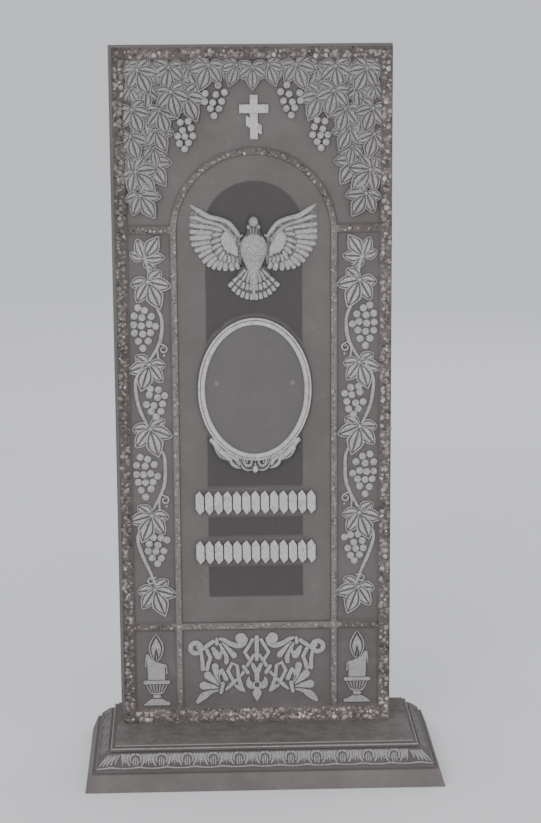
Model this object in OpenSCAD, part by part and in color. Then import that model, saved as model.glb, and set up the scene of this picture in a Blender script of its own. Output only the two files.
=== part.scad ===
// Grave stele of cast concrete with raised ornament, standing on a moulded plinth.
// Origin at the middle of the plinth's underside, front towards -Y, up is +Z.

/* [Slab] */
// Width of the slab's front face
slab_w = 500; // [420:10:620]
// Height of the slab
slab_h = 1260; // [1040:10:1550]
// Thickness of the slab
slab_t = 120; // [90:5:150]
// How much wider the back is than the front, on each side
side_draft = 10; // [2:1:20]
// How far the slab stands off the plinth's middle, to the right
slab_shift = -10; // [-15:1:15]

/* [Frame of exposed stone] */
// Width of the stone-chip border along the sides and top
border_w = 21; // [14:1:30]
// Width of the border along the bottom
border_foot = 28; // [16:1:40]
// Width of the thin stone-chip bars
bar_w = 10; // [6:1:16]
// Height of the lower cross bar's underside above the slab's foot
foot_bar_z = 183; // [160:1:210]
// Height of the head, from the springing of the arch to the slab's top
head_h = 330; // [300:2:400]
// Width of the vine panels beside the niche
side_panel_w = 79; // [66:1:90]
// Depth of the panels below the face
panel_depth = 5; // [3:0.5:10]

/* [Niche] */
// Width of the sloping margin round the niche floor
niche_margin = 52; // [35:1:70]
// Depth of the niche floor
niche_depth = 10; // [7:0.5:16]

/* [Portrait oval] */
// Half width of the oval frame
oval_rx = 104; // [80:1:120]
// Half height of the oval frame
oval_rz = 132; // [100:1:150]
// How far the oval's middle lies below the springing of the arch
oval_drop = 290; // [270:1:300]
// Width of the oval frame's band
oval_band = 15; // [8:1:22]

/* [Raised ornament] */
// Height of the leaves above the panel
leaf_h = 5.3; // [3.3:0.5:8.3]
// Length of a large vine leaf, from its stalk to its tip
leaf_len = 44; // [34:1:50]
// Radius of a grape
grape_r = 7; // [5:0.5:8]
// Width of a vine stem
stem_w = 6; // [4:0.5:9]
// Number of main feathers in a wing
feathers = 14; // [8:1:18]
// Number of strokes in a row of the inscription
strokes = 13; // [8:1:16]

/* [Plinth] */
// How far the plinth's flat top shows beyond the slab's face, on each side
side_ledge = 25; // [21:1:60]
// How far the flat top shows in front of the slab
front_ledge = 110; // [80:1:160]
// Height of the plinth
plinth_h = 72; // [65:1:95]
// How far the moulding spreads beyond the flat top, on each side
spread = 54; // [46:1:70]
// Number of carved leaves along the front
front_leaves = 11; // [9:1:12]

/* [Hidden] */
$fn = 48;

root = 2;                                  // how far raised work is rooted in its ground
flat_w = slab_w + 2 * side_ledge;          // plinth's flat top
flat_d = slab_t + front_ledge;
front_y = flat_d / 2 - slab_t;             // slab's back is flush with the flat's back edge
spring_z = slab_h - head_h;                // upper cross bars' underside, where the arch springs
arch_r = slab_w / 2 - border_w - side_panel_w;  // outer radius of the arch bar
oval_z = spring_z - oval_drop;
panel_x = slab_w / 2 - border_w;           // outer edge of the side panels
bar_out = arch_r;                          // outer edge of the upright bars
bar_in = arch_r - bar_w;                   // their inner edge
bar_top = foot_bar_z + bar_w + 2;          // top of the lower cross bar
spring_top = spring_z + bar_w + 2;         // top of the upper cross bars
panel_top = slab_h - border_w;             // top of the leaf panel
side_mid = (panel_x + bar_out) / 2;        // middle of a side panel
niche_edge = 4;                            // step at the niche's rim
floor_r = bar_in - niche_margin;           // half width of the niche floor
plate_d = 4;                               // depth of the oval field and stroke pads
deep = 40;                                 // cutting length for recesses

// ---- helpers -------------------------------------------------------------

// Raises a flat outline (x, z) from a ground at depth d to height h above it.
module raise(d, h) {
    translate([0, d + root, 0]) rotate([90, 0, 0]) linear_extrude(h + root) children();
}

// Sinks a flat outline (x, z) from outside the face to depth d.
module sink(d) {
    translate([0, d, 0]) rotate([90, 0, 0]) linear_extrude(deep) children();
}

module mirrored() {
    children();
    mirror([1, 0, 0]) children();
}

function polar(a, r) = [r * sin(a), r * cos(a)];

function ellipse(rx, rz, n = 72) = [for (i = [0 : n - 1]) [rx * cos(360 * i / n), rz * sin(360 * i / n)]];

// Straight bar of width w from p to q.
function bar(p, q, w) =
    let (d = q - p, u = d / norm(d), s = [-u[1], u[0]] * w / 2)
    [p - s, q - s, q + s, p + s];

// Five-lobed vine leaf, stalk at the origin and tip up.
leaf_step = 0.4;                           // each overlapping leaf lies this much higher
lobe_turn = 56;
lobe_len = [0.58, 0.84, 1, 0.84, 0.58];
function leaf(size) = size * concat(
    [for (i = [0 : 4]) let (a = (i - 2) * lobe_turn, l = lobe_len[i]) each [
        polar(a - 19, 0.74 * l), polar(a, l), polar(a + 19, 0.74 * l),
        i < 4 ? polar(a + lobe_turn / 2, 0.42) : polar(180, 0.16)]]);

// Petal of length l and width w, its point at the origin and its round end up.
function petal(l, w, n = 14) = concat([[0, 0]],
    [for (i = [0 : n]) let (a = -100 + 200 * i / n) [w / 2 * sin(a), l - w / 2 + w / 2 * cos(a)]]);

// ---- slab ----------------------------------------------------------------

module slab_body() {
    linear_extrude(slab_h) polygon([
        [-slab_w / 2, 0], [slab_w / 2, 0],
        [slab_w / 2 + side_draft, slab_t], [-slab_w / 2 - side_draft, slab_t]]);
}

// Outline of the leaf panel: full width, with the arch cut out of its foot.
function top_panel() = concat(
    [[-panel_x, spring_top], [-panel_x, panel_top], [panel_x, panel_top], [panel_x, spring_top]],
    let (a0 = asin((spring_top - spring_z) / arch_r), n = 48)
    [for (i = [0 : n]) let (a = a0 + (180 - 2 * a0) * i / n)
        [arch_r * cos(a), spring_z + arch_r * sin(a)]]);

module panels() {
    sink(panel_depth) polygon(top_panel());
    mirrored() {
        translate([bar_out, -deep + panel_depth, bar_top])
            cube([panel_x - bar_out, deep, spring_z - bar_top]);
        translate([bar_out, -deep + panel_depth, border_foot])
            cube([panel_x - bar_out, deep, foot_bar_z - border_foot]);
    }
    translate([-bar_in, -deep + panel_depth, border_foot])
        cube([2 * bar_in, deep, foot_bar_z - border_foot]);
}

// Half of the niche's cross-section: depth against distance from the middle.
function niche_section() = [[0, niche_depth], [floor_r, niche_depth],
    [bar_in, niche_edge], [bar_in, -deep], [0, -deep]];

// The niche: sloping sides and foot, and a round head that slopes the same way.
module niche() {
    intersection() {
        translate([0, 0, bar_top]) linear_extrude(spring_z - bar_top) polygon(concat(
            niche_section(), [for (p = [4 : -1 : 1]) [-niche_section()[p][0], niche_section()[p][1]]]));
        translate([-bar_in - 1, 0, 0]) rotate([90, 0, 90]) linear_extrude(2 * bar_in + 2) polygon([
            [niche_edge, bar_top], [niche_depth, bar_top + niche_margin],
            [niche_depth, spring_z + 1], [-deep, spring_z + 1], [-deep, bar_top]]);
    }
    difference() {
        translate([0, 0, spring_z]) rotate([90, 0, 0])
            rotate_extrude($fn = 96) polygon([for (p = niche_section()) [p[0], -p[1]]]);
        translate([-2 * bar_in, -deep - 1, 0]) cube([4 * bar_in, 2 * deep + 2, spring_z]);
    }
}

// ---- vine ----------------------------------------------------------------

module vine_leaf(x, z, turn, size, step) {
    raise(panel_depth, leaf_h + leaf_step * step)
        translate([x, z]) rotate(turn) polygon(leaf(size));
}

// Bunch of grapes hanging below z: one row for each count.
module grapes(x, z, rows, r) {
    for (i = [0 : len(rows) - 1], j = [0 : rows[i] - 1])
        raise(panel_depth, leaf_h + 0.5)
            translate([x + (j - (rows[i] - 1) / 2) * 2.08 * r, z - i * 1.95 * r]) circle(r);
}

// Leaves of the canopy on one side: along the top, then stepping down the side.
module canopy() {
    inset = panel_x - leaf_len / 2;
    for (i = [1 : 4])
        vine_leaf(inset * i / 4.2, panel_top - 8, 200 - 12 * i, leaf_len - 4 + i % 2 * 4, i % 2);
    for (i = [0 : 5])
        vine_leaf(inset + 2, panel_top - 46 - 42 * i, 160 - i % 2 * 20, leaf_len - 2, 2 + i % 2);
    for (i = [0 : 3])
        vine_leaf(inset - 36, panel_top - 56 - 38 * i, 168 + i % 2 * 16, leaf_len, 4 + i % 2);
    for (i = [0 : 1])
        vine_leaf(inset - 68 - 32 * i, panel_top - 54 + 4 * i, 176 - 22 * i, leaf_len + 4, 6 + i);
    grapes(inset - 85, panel_top - 108, [2, 2, 3, 2, 1], grape_r - 0.5);
    grapes(inset - 139, panel_top - 46, [2, 3, 3, 2, 1], grape_r - 0.5);
}

// Winding stem of a side panel, with leaves and bunches on alternate sides.
vine_foot = bar_top + 86;
vine_step = (spring_z - vine_foot - 124) / 4;
vine_sway = 27;
function stem_x(z) = side_mid - vine_sway * sin(180 * (z - vine_foot) / vine_step);
module side_vine() {
    n = 48;
    length = 4 * vine_step;
    raise(panel_depth, leaf_h - 1) polygon(concat(
        [for (i = [0 : n]) let (z = vine_foot + length * i / n) [stem_x(z) - stem_w / 2, z]],
        [for (i = [n : -1 : 0]) let (z = vine_foot + length * i / n) [stem_x(z) + stem_w / 2, z]]));
    for (i = [0 : 3]) {
        side = i % 2 == 0 ? 1 : -1;
        vine_leaf(side_mid, vine_foot + i * vine_step - 8, 180 - 14 * side, leaf_len - 4, 2);
        grapes(side_mid + 10 * side, vine_foot + (i + 0.9) * vine_step - 42, [3, 4, 3, 2, 1], grape_r);
    }
    vine_leaf(side_mid + 4, spring_z - 80, 170, leaf_len - 4, 2);
    vine_leaf(side_mid + 2, spring_z - 46, 352, leaf_len - 6, 3);
}

// ---- cross, dove and oval ---------------------------------------------------

// Cross with one straight bar and a slanting foot bar, its high end on the left.
cross_z = panel_top - 102;
module cross() {
    raise(panel_depth, leaf_h) {
        translate([-7, cross_z - 39]) square([14, 78]);
        translate([-26, cross_z + 7]) square([52, 15]);
        polygon([[-14, cross_z + 3], [-14, cross_z - 14], [14, cross_z - 31], [14, cross_z - 14]]);
    }
}

dove_z = spring_z - 17;
wing_root = [48, 0];
// Reach of the feather at t along the wing, from the tip (0) to the body (1).
function wing_reach(t) = 52 + 41 * pow(1 - t, 3);
function wing_turn(t) = 43 + 157 * t;
function wing() = concat([[16, 8], [34, 38]],
    [for (i = [0 : feathers]) let (t = i / feathers, c = 0.5 / feathers) each [
        wing_root + polar(wing_turn(t), wing_reach(t)),
        wing_root + polar(wing_turn(min(t + c, 1)), wing_reach(min(t + c, 1)) - 6)]]);
tail_reach = 64;
tail_half = 44;
function tail(n = 9) = concat([[0, 8]],
    [for (i = [0 : 2 * n]) polar(180 - tail_half + tail_half * i / n, tail_reach - i % 2 * 5)]);

module dove() {
    translate([0, 0, dove_z]) {
        mirrored() raise(niche_depth, 9) polygon(wing());
        raise(niche_depth, 8) translate([0, -44]) polygon(tail());
        raise(niche_depth, 13) translate([0, -14]) polygon(ellipse(24, 44, 40));
        raise(niche_depth, 12) polygon([[-17, -40], [17, -40], [2, -102], [-2, -102]]);
        raise(niche_depth, 15) translate([0, 32]) circle(10);
    }
}

// Oval plate on the niche floor, the frame round it and the drop at its foot.
module portrait() {
    translate([0, 0, oval_z]) {
        raise(niche_depth, niche_depth - plate_d) polygon(ellipse(oval_rx + 2, oval_rz + 2));
        raise(plate_d, plate_d) difference() {
            polygon(ellipse(oval_rx, oval_rz));
            polygon(ellipse(oval_rx - oval_band, oval_rz - oval_band));
        }
        mirrored() {
            raise(niche_depth, niche_depth + 1) translate([66, -112]) rotate(47)
                polygon(ellipse(30, 11, 40));
            raise(niche_depth, niche_depth + 2) translate([25, -oval_rz - 1]) rotate(16)
                polygon(ellipse(27, 12, 40));
        }
        raise(niche_depth, niche_depth + 3) translate([0, -oval_rz - 10]) circle(7);
    }
}

// ---- inscription -----------------------------------------------------------

stroke_h = 45;
row_z = [oval_z - 212, oval_z - 307];
row_half = 112;
module inscription() {
    pitch = 2 * row_half / strokes;
    w = 0.72 * pitch;
    for (z = row_z) {
        raise(niche_depth, niche_depth - plate_d) translate([-row_half - 4, z - stroke_h / 2 - 4])
            square([2 * row_half + 8, stroke_h + 8]);
        for (i = [0 : strokes - 1])
            raise(plate_d, plate_d) translate([(i + 0.5) * pitch - row_half, z]) polygon([
                [0, stroke_h / 2], [w / 2, stroke_h / 4], [w / 2, -stroke_h / 3],
                [0, -stroke_h / 2], [-w / 2, -stroke_h / 4], [-w / 2, stroke_h / 3]]);
    }
}

// ---- foot panels -----------------------------------------------------------

// Interlaced scrolls and petals, one half; the fan springs from fan_at.
fan_at = [66, 70];
module strapwork() {
    mid = border_foot + 2;
    fan = [[-14, 52, 13], [-44, 44, 15], [-82, 42, 15], [-116, 54, 13]];
    for (f = fan) raise(panel_depth, leaf_h) translate(fan_at) rotate(f[0]) polygon(petal(f[1], f[2]));
    for (f = [[148, 40, 11], [166, 46, 11], [188, 36, 18]])
        raise(panel_depth, leaf_h - 0.5) translate([72, 160]) rotate(f[0]) polygon(petal(f[1], f[2]));
    raise(panel_depth, leaf_h) translate([73, 160]) circle(5);
    raise(panel_depth, leaf_h + 0.5) polygon(bar([66, 56], [66, 82], 9));
    raise(panel_depth, leaf_h + 0.5) difference() {
        translate([114, 147]) circle(15);
        translate([112, 145]) circle(5);
    }
    raise(panel_depth, leaf_h - 1) polygon(bar([104, 148], [102, 103], 8));
    raise(panel_depth, leaf_h - 1) polygon(bar([100, 146], [80, 162], 8));
    raise(panel_depth, leaf_h - 1) polygon(bar([72, 162], [34, 150], 8));
    raise(panel_depth, leaf_h + 0.5) translate([29, 160]) circle(12);
    raise(panel_depth, leaf_h - 1) polygon(bar([60, 64], [40, 84], 7));
    raise(panel_depth, leaf_h - 1.5) polygon(bar([54, 118], [24, 56], 8));
    raise(panel_depth, leaf_h - 1) polygon(bar([8, 160], [24, 134], 7));
    raise(panel_depth, leaf_h - 1.5) polygon(bar([24, 134], [3, 105], 7));
    raise(panel_depth, leaf_h - 1) polygon(bar([28, 110], [4, 138], 7));
    raise(panel_depth, leaf_h) translate([13, 78]) circle(11);
}

module strapwork_middle() {
    raise(panel_depth, leaf_h + 0.5) difference() {
        translate([0, 40]) rotate(0) polygon([[0, 0], [9, 14], [10, 24], [6, 34], [4, 62],
            [-4, 62], [-6, 34], [-10, 24], [-9, 14]]);
        translate([0, 73]) circle(3.5);
    }
    raise(panel_depth, leaf_h) polygon(bar([0, 118], [0, 168], 8));
}

// Candle in a fluted bowl on a spreading foot.
candle_z = 35;
module candle() {
    translate([(panel_x + bar_out) / 2, 0, candle_z]) {
        raise(panel_depth, leaf_h) polygon([[-24, 0], [24, 0], [24, 6], [9, 14], [-9, 14], [-24, 6]]);
        raise(panel_depth, leaf_h + 0.5) translate([-7, 13]) square([14, 8]);
        raise(panel_depth, leaf_h + 1) polygon([[-10, 20], [10, 20], [21, 41], [-21, 41]]);
        raise(panel_depth, leaf_h + 1.5) translate([-25, 41]) square([50, 7]);
        raise(panel_depth, leaf_h) polygon([[-16, 48], [16, 48], [16, 98], [6, 84], [-16, 80]]);
        raise(panel_depth, leaf_h + 0.5) translate([0, 108]) polygon([
            for (i = [0 : 19]) let (a = 18 * i) [13 * sin(a), 27 * cos(a) + (cos(a) > 0 ? 4 * pow(cos(a), 6) : 0)]]);
    }
}

module stele() {
    color("dimgray") translate([slab_shift, front_y, plinth_h]) {
        difference() {
            slab_body();
            panels();
            niche();
        }
        mirrored() {
            canopy();
            side_vine();
            strapwork();
            candle();
        }
        vine_leaf(0, panel_top - 8, 180, leaf_len + 4, 3);
        strapwork_middle();
        cross();
        dove();
        portrait();
        inscription();
    }
}

// ---- plinth ----------------------------------------------------------------

cyma_top = [12, 14];                       // ornament slope: out from the flat, down from the top
cyma_foot = [32, 31];
lip = [34, 33];
fascia_top = [spread - 12, 42];

// Moulding outline from the flat's edge outwards: [out, down from the top].
function moulding() = concat(
    [[0, 0], [0, 3], [8, 5], [8, 10], [6, 12], cyma_top, cyma_foot, lip, lip + [0, 3]],
    [for (a = [0 : 15 : 90]) [fascia_top[0] - (fascia_top[0] - lip[0]) * cos(a), 36 + 5 * sin(a)]],
    [fascia_top, [spread, plinth_h]]);

// The moulding as a closed section of a block whose flat top is w wide.
function block(w) = let (m = moulding(), k = len(m) - 1) concat(
    [for (p = m) [w / 2 + p[0], plinth_h - p[1]]],
    [for (i = [k : -1 : 0]) [-w / 2 - m[i][0], plinth_h - m[i][1]]]);

carve_h = 3;
slope = cyma_foot - cyma_top;
slope_len = norm(slope);
slope_mid = (cyma_top + cyma_foot) / 2;
corner_gap = 36;                           // from a corner to the first dart, along the slope
carve_pitch = (flat_w + 2 * slope_mid[0] - 2 * corner_gap) / front_leaves;
side_leaves = floor((flat_d + 2 * slope_mid[0] - 2 * corner_gap) / carve_pitch);

// Raises an outline from the ornament slope of the side that lies `out` from the middle.
// The outline's up is the slope's up, and its origin is the slope's middle.
module on_slope(out, along) {
    translate([along, -out - slope_mid[0], plinth_h - slope_mid[1]])
        rotate([atan2(slope[0], slope[1]) * -1 + 90, 0, 0])
            translate([0, 0, -root]) linear_extrude(carve_h + root) children();
}

// Row of n hollow-sided leaves with darts between them.
module leaf_and_dart(out, n) {
    half = slope_len / 2 - 1;
    for (i = [0 : n - 1])
        on_slope(out, (i - (n - 1) / 2) * carve_pitch) difference() {
            polygon([[-9, half], [9, half], [17, 2], [18, -half + 3], [13, -half], [7, -half + 6],
                [0, -half + 1], [-7, -half + 6], [-13, -half], [-18, -half + 3], [-17, 2]]);
            translate([0, 2]) circle(3);
        }
    for (i = [0 : n])
        on_slope(out, (i - n / 2) * carve_pitch) polygon([[-4, half], [4, half], [0, -half]]);
}

module plinth() {
    color("gray") {
        intersection() {
            translate([0, flat_d / 2 + spread, 0]) rotate([90, 0, 0])
                linear_extrude(flat_d + 2 * spread) polygon(block(flat_w));
            translate([-flat_w / 2 - spread, 0, 0]) rotate([90, 0, 90])
                linear_extrude(flat_w + 2 * spread) polygon(block(flat_d));
        }
        leaf_and_dart(flat_d / 2, front_leaves);
        for (turn = [90, -90]) rotate(turn) leaf_and_dart(flat_w / 2, side_leaves);
    }
}

stele();
plinth();
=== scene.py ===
import contextlib
import random
from math import asin, atan2, copysign, cos, pi, radians, sin, sqrt

import bpy
from mathutils import Matrix, Vector


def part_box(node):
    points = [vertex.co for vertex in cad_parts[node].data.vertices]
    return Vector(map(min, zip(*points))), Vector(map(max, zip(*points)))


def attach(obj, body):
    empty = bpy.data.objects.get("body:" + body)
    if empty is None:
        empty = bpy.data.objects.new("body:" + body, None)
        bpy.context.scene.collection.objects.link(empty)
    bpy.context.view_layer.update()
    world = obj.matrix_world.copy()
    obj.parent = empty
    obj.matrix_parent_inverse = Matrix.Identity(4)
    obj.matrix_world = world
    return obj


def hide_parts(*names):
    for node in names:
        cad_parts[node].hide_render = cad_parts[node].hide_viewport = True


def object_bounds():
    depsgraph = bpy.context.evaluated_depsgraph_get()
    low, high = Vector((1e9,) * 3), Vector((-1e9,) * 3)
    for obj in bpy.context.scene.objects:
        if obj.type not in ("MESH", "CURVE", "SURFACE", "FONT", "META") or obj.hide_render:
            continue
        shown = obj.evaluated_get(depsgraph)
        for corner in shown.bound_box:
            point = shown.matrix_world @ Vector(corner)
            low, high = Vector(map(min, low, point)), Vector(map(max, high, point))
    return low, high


# A cast concrete grave stele with raised ornament, on a moulded plinth.
# Ornament is modelled lying down, in millimetres: x to the right, y up, z out from the slab's face.
# It is then stood against the slab's face or laid on the plinth's moulding.

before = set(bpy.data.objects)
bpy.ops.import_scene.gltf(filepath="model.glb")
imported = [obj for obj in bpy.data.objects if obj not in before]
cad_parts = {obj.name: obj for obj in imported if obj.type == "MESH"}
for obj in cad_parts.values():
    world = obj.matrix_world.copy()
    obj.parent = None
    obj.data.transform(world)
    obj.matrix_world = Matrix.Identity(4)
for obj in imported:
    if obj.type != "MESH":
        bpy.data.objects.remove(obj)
cad_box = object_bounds()
random.seed(29)

MM = 0.001
stele_low, stele_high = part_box("stele")
plinth_low, plinth_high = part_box("plinth")

# ---- sizes ----

PROUD = 5  # how far ornament stands proud of the face
SLAB_H = 1250  # height of the slab on the bench
STRETCH = (stele_high.z - stele_low.z) / MM / SLAB_H  # and how much taller it stands
FACE_X = (stele_low.x + stele_high.x) / 2  # middle of the slab, in metres
BACK_W = (stele_high.x - stele_low.x) / MM
SLAB_T = (stele_high.y - stele_low.y) / MM - PROUD
FRONT_W = BACK_W - 20
BORDER, FOOT_BORDER = 21, 28
PANEL_X = FRONT_W / 2 - BORDER  # outer edge of the side panels
BAR_OUT, BAR_IN = 150, 140  # the two upright stone bars
FOOT_BAR, FOOT_BAR_TOP = 182, 194  # lower cross bar
SPRING, SPRING_TOP = 922, 934  # upper cross bars; the arch springs at SPRING
PANEL_TOP = SLAB_H - BORDER
GROUND = -5  # depth of the panels
NICHE_EDGE, NICHE, MARGIN = -4, -10, 52  # depths of the niche's rim and floor, width of its slope
PANEL_BED, NICHE_BED = GROUND - 2, NICHE - 2  # where ornament starts, below the ground it stands on
OVAL_Z, OVAL_RX, OVAL_RZ = 635, 104, 132
STROKE_H, ROW_HALF, STROKES = 45, 112, 13  # the inscription's strokes
ROW_Z = (424, 330)  # and its rows
SPREAD = 54  # how far the plinth's mouldings reach out
ARC_STEPS = 48  # corners of the arch's curve

WALL = (Matrix.Translation((FACE_X, stele_low.y + PROUD * MM, stele_low.z))
        @ Matrix.Rotation(pi / 2, 4, "X") @ Matrix.Diagonal((MM, MM * STRETCH, MM, 1)))


# ---- bench tools ----

def only(*objects):
    bpy.ops.object.select_all(action="DESELECT")
    for o in objects:
        o.select_set(True)
    bpy.context.view_layer.objects.active = objects[0]


def fresh(add, **settings):
    """A new primitive, added with nothing else selected."""
    bpy.ops.object.select_all(action="DESELECT")
    add(**settings)
    return bpy.context.object


def modified(o, kind, **settings):
    """Applies a modifier with those settings."""
    only(o)
    modifier = o.modifiers.new(kind.lower(), kind)
    for key, value in settings.items():
        setattr(modifier, key, value)
    bpy.ops.object.modifier_apply(modifier=modifier.name)


@contextlib.contextmanager
def editing(o, pick=None):
    """Edit mode with all faces selected, or those for which pick(face) holds."""
    only(o)
    bpy.context.tool_settings.mesh_select_mode = (False, False, True)
    for group in (o.data.vertices, o.data.edges, o.data.polygons):
        group.foreach_set("select", [pick is None] * len(group))
    if pick:
        for face in o.data.polygons:
            face.select = pick(face)
    bpy.ops.object.mode_set(mode="EDIT")
    yield
    bpy.ops.object.mode_set(mode="OBJECT")


def outward(o):
    with editing(o):
        bpy.ops.mesh.normals_make_consistent(inside=False)
    return o


def paint(o, dark, light):
    """Paint on the parts that a nearly dry brush touches: none at height dark, full at height light."""
    mesh = o.data
    layer = mesh.attributes.get("paint") or mesh.attributes.new("paint", "FLOAT", "POINT")
    layer.data.foreach_set("value", [
        min(max((v.co.z - dark) / (light - dark), 0), 1) for v in mesh.vertices])
    return o


def unpainted(o):
    return paint(o, 90, 91)  # heights that no ornament reaches


def worn(o, share):
    """Leaves only a share of a piece's paint."""
    for value in o.data.attributes["paint"].data:
        value.value *= share
    return o


def join(name, objects):
    if len(objects) > 1:
        only(*objects)
        bpy.ops.object.join()
    objects[0].name = name
    return objects[0]


def copy(o, matrix):
    c = o.copy()
    c.data = o.data.copy()
    bpy.context.scene.collection.objects.link(c)
    c.data.transform(matrix)
    if matrix.determinant() < 0:
        c.data.flip_normals()
    return c


def added(name, data):
    """An object in the scene that holds the data."""
    o = bpy.data.objects.new(name, data)
    bpy.context.scene.collection.objects.link(o)
    return o


def discard(*objects):
    for o in objects:
        bpy.data.objects.remove(o)


def placed(x, y, turn=0, size=1, lift=0):
    """Matrix that sizes a pattern piece, turns it clockwise by turn degrees and sets it down."""
    return (Matrix.Translation((x, y, lift)) @ Matrix.Rotation(-radians(turn), 4, "Z")
            @ Matrix.Diagonal((size, size, 1, 1)))


MIRROR = Matrix.Diagonal((-1, 1, 1, 1))


def both_sides(name, o):
    """A piece with its mirror image on the other side of the middle line."""
    return join(name, [o, copy(o, MIRROR)])


def smooth(knots, each):
    """Points of a soft curve through the knots, whose widths change as softly."""
    k = [knots[0]] + list(knots) + [knots[-1]]
    points = []
    for a, b, c, d in zip(k, k[1:], k[2:], k[3:]):
        for i in range(each):
            t = i / each
            points.append(tuple(
                0.5 * (2 * q + (r - p) * t + (2 * p - 5 * q + 4 * r - s) * t * t
                       + (3 * q - p - 3 * r + s) * t ** 3)
                for p, q, r, s in zip(a, b, c, d)))
    points.append(tuple(knots[-1]))
    return points


def strip(knots, each):
    """Outline of a flat strip through (x, y, width) knots, with round ends."""
    points = smooth(knots, each)
    left, right, turns = [], [], []
    for i, (x, y, w) in enumerate(points):
        a, b = points[max(i - 1, 0)], points[min(i + 1, len(points) - 1)]
        turns.append(atan2(b[1] - a[1], b[0] - a[0]))
        nx, ny = -sin(turns[-1]) * w / 2, cos(turns[-1]) * w / 2
        left.append((x + nx, y + ny))
        right.append((x - nx, y - ny))

    def cap(point, turn):
        x, y, w = point
        angles = [turn + radians(a) for a in (60, 30, 0, -30, -60)]
        return [(x + w / 2 * cos(a), y + w / 2 * sin(a)) for a in angles]
    return left + cap(points[-1], turns[-1]) + right[::-1] + cap(points[0], turns[0] + pi)


def oval(rx, ry, x, y, n):
    angles = [2 * pi * i / n for i in range(n)]
    return [(x + rx * cos(a), y + ry * sin(a)) for a in angles]


def plate(outline, low, high, steps=()):
    """A flat outline raised from low to high, its top then inset by each (thickness, rise) in turn."""
    o = fresh(bpy.ops.mesh.primitive_circle_add, vertices=len(outline), radius=1, fill_type="NGON")
    for points in (outline, outline[::-1]):
        for v, (x, y) in zip(o.data.vertices, points):
            v.co = (x, y, low)
        o.data.update()
        if o.data.polygons[0].normal.z > 0:
            break
    with editing(o):
        bpy.ops.mesh.extrude_region_move(TRANSFORM_OT_translate={"value": (0, 0, high - low)})
        for thickness, rise in steps:
            bpy.ops.mesh.inset(thickness=thickness, depth=rise)
        bpy.ops.mesh.select_all(action="SELECT")
        bpy.ops.mesh.normals_make_consistent(inside=False)
    return o


EDGE = 0.7  # soft edge of raised work


def raised(outline, low, high):
    """A painted flat shape with a soft edge."""
    return paint(plate(outline, low, high - EDGE, [(EDGE, EDGE)]), high - 2.4, high - 0.5)


def band(knots, low, high, each=4, fuller=0.2):
    """A painted flat strip through (x, y, width) knots."""
    return raised(strip([(x, y, w + fuller) for x, y, w in knots], each), low, high)


def rib(knots, low, high, each=4, sides=2):
    """A crowned strip through (x, y, width) knots."""
    path = bpy.data.curves.new("rib", "CURVE")
    path.dimensions = "3D"
    path.twist_mode = "Z_UP"
    path.bevel_depth = 1
    path.bevel_resolution = sides
    path.use_fill_caps = True
    spline = path.splines.new("POLY")
    points = smooth(knots, each)
    spline.points.add(len(points) - 1)
    for point, (x, y, w) in zip(spline.points, points):
        point.co = (x, y, 0, 1)
        point.radius = max(w, 0.5) / 2
    only(added("rib", path))
    bpy.ops.object.convert(target="MESH")
    o = bpy.context.object
    widest = max(w for _, _, w in points) / 2
    for v in o.data.vertices:
        h = v.co.z / widest
        v.co.z = low + (high - low) * sqrt(h) if h > 0 else low + 1.5 * h
    return paint(o, low + 0.28 * (high - low), low + 0.62 * (high - low))


def dome(x, y, rx, ry, low, high, segments=12):
    """A round boss, cut off flat just below the ground."""
    o = fresh(bpy.ops.mesh.primitive_uv_sphere_add, segments=segments, ring_count=8, radius=1)
    with editing(o):
        bpy.ops.mesh.bisect(plane_co=(0, 0, -0.25), plane_no=(0, 0, 1), use_fill=True, clear_inner=True)
    for v in o.data.vertices:
        v.co.z = v.co.z ** 0.38 if v.co.z > 0 else v.co.z
    o.data.transform(Matrix.Translation((x, y, low)) @ Matrix.Diagonal((rx, ry, high - low, 1)))
    return paint(o, low + 0.25 * (high - low), low + 0.6 * (high - low))


def finished(o, finish=None, where=WALL, angle=35):
    """Stands a piece in its place, in metres, with its finish, if it has only one."""
    o.data.transform(where)
    outward(o)
    bpy.ops.object.shade_smooth_by_angle(angle=radians(angle))
    if finish:
        o.data.materials.clear()
        o.data.materials.append(FINISH[finish])
    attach(o, "root")


# ---- finishes ----

def rgb(code):
    """A paint chart's colour code as the light it gives back."""
    parts = [int(code[i:i + 2], 16) / 255 for i in (0, 2, 4)]
    return tuple(c / 12.92 if c <= 0.04045 else ((c + 0.055) / 1.055) ** 2.4 for c in parts) + (1,)


class Value:
    """A node's output that an expression can add, multiply and so on."""

    def __init__(self, finish, output):
        self.finish, self.output = finish, output

    def math(self, operation, a, b):
        return self.finish.node("ShaderNodeMath", {"operation": operation}, {0: a, 1: b})

    def __add__(self, other):
        return self.math("ADD", self, other)

    def __radd__(self, other):
        return self.math("ADD", other, self)

    def __sub__(self, other):
        return self.math("SUBTRACT", self, other)

    def __rsub__(self, other):
        return self.math("SUBTRACT", other, self)

    def __mul__(self, other):
        return self.math("MULTIPLY", self, other)

    def __rmul__(self, other):
        return self.math("MULTIPLY", other, self)

    def __pow__(self, other):
        return self.math("POWER", self, other)

    def __abs__(self):
        return self.math("ABSOLUTE", self, 0)


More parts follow.
